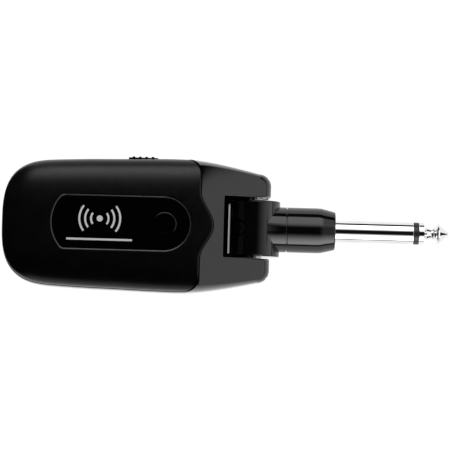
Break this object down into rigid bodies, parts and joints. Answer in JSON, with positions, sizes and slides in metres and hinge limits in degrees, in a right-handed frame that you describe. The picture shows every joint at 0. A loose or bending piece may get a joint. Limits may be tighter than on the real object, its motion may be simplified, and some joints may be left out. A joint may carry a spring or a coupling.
{
  "type": "wireless guitar transmitter",
  "caption": "Pebble-shaped wireless transmitter that clips onto a guitar through a folding jack plug held in its forked end, with a panel button and a side slide switch.",
  "frame": {"origin": "centre of the bounding box of the unfolded object, on the plane its back lies on", "axes": "+X along the unfolded plug towards its tip, +Z out of the front face with the panel, +Y towards the flank with the slide switch"},
  "size_m": [0.1242, 0.0376, 0.024],
  "materials": {
    "matte_black": "fine matte soft-touch texture",
    "gloss_black": "polished",
    "panel_black": "mirror-polished",
    "chrome": "polished plating",
    "steel": "plain",
    "brass": "plain",
    "insulator_black": "satin",
    "board_green": "solder mask",
    "chip_black": "moulded",
    "cell_silver": "foil pouch",
    "foam_grey": "closed-cell foam",
    "light_diffuser": "milky",
    "lead_red": "insulated wire",
    "lead_black": "insulated wire"
  },
  "bodies": {
    "housing": {"back_shell": "gloss_black", "upper_housing": "gloss_black", "top_cover": "matte_black", "label_panel": "panel_black", "housing_screw_1": "steel", "housing_screw_2": "steel", "housing_screw_3": "steel", "housing_screw_4": "steel", "board_screw_1": "steel", "board_screw_2": "steel", "board_screw_3": "steel", "board_screw_4": "steel", "main_board": "board_green", "radio_shield": "steel", "controller_chip": "chip_black", "audio_codec_chip": "chip_black", "charger_chip": "chip_black", "chip_antenna": "light_diffuser", "tact_switch": "steel", "status_led": "light_diffuser", "battery_cell": "cell_silver", "battery_pad": "foam_grey", "switch_board": "board_green", "slide_switch": "steel", "charge_board": "board_green", "usb_port": "steel", "charge_led": "light_diffuser", "battery_lead_red": "lead_red", "battery_lead_black": "lead_black", "plug_signal_lead": "lead_red", "plug_ground_lead": "lead_black", "hinge_bush_far": "brass", "hinge_bush_near": "brass", "wave_washer_far": "steel", "wave_washer_near": "steel"},
    "plug": {"knuckle": "gloss_black", "knuckle_screw": "steel", "hinge_axle": "steel", "lock_nut_far": "steel", "lock_nut_near": "steel", "grip_sleeve": "gloss_black", "plug_sleeve": "chrome", "insulator_ring": "insulator_black", "core_insulator": "insulator_black", "plug_tip": "chrome"},
    "button": {"channel_button": "panel_black"},
    "switch": {"switch_knob": "matte_black"}
  },
  "joints": [
    {"name": "plug_fold", "type": "hinge", "parent": "housing", "child": "plug", "pos_m": [0.00777, 0, 0.009], "axis": [0, 1, 0], "range_deg": [-40, 180]},
    {"name": "button_press", "type": "slide", "parent": "housing", "child": "button", "axis": [0, 0, -1], "range_m": [0, 0.0004], "stiffness_N_per_m": 2500},
    {"name": "switch_slide", "type": "slide", "parent": "housing", "child": "switch", "axis": [1, 0, 0], "range_m": [-0.002, 0.002]}
  ]
}
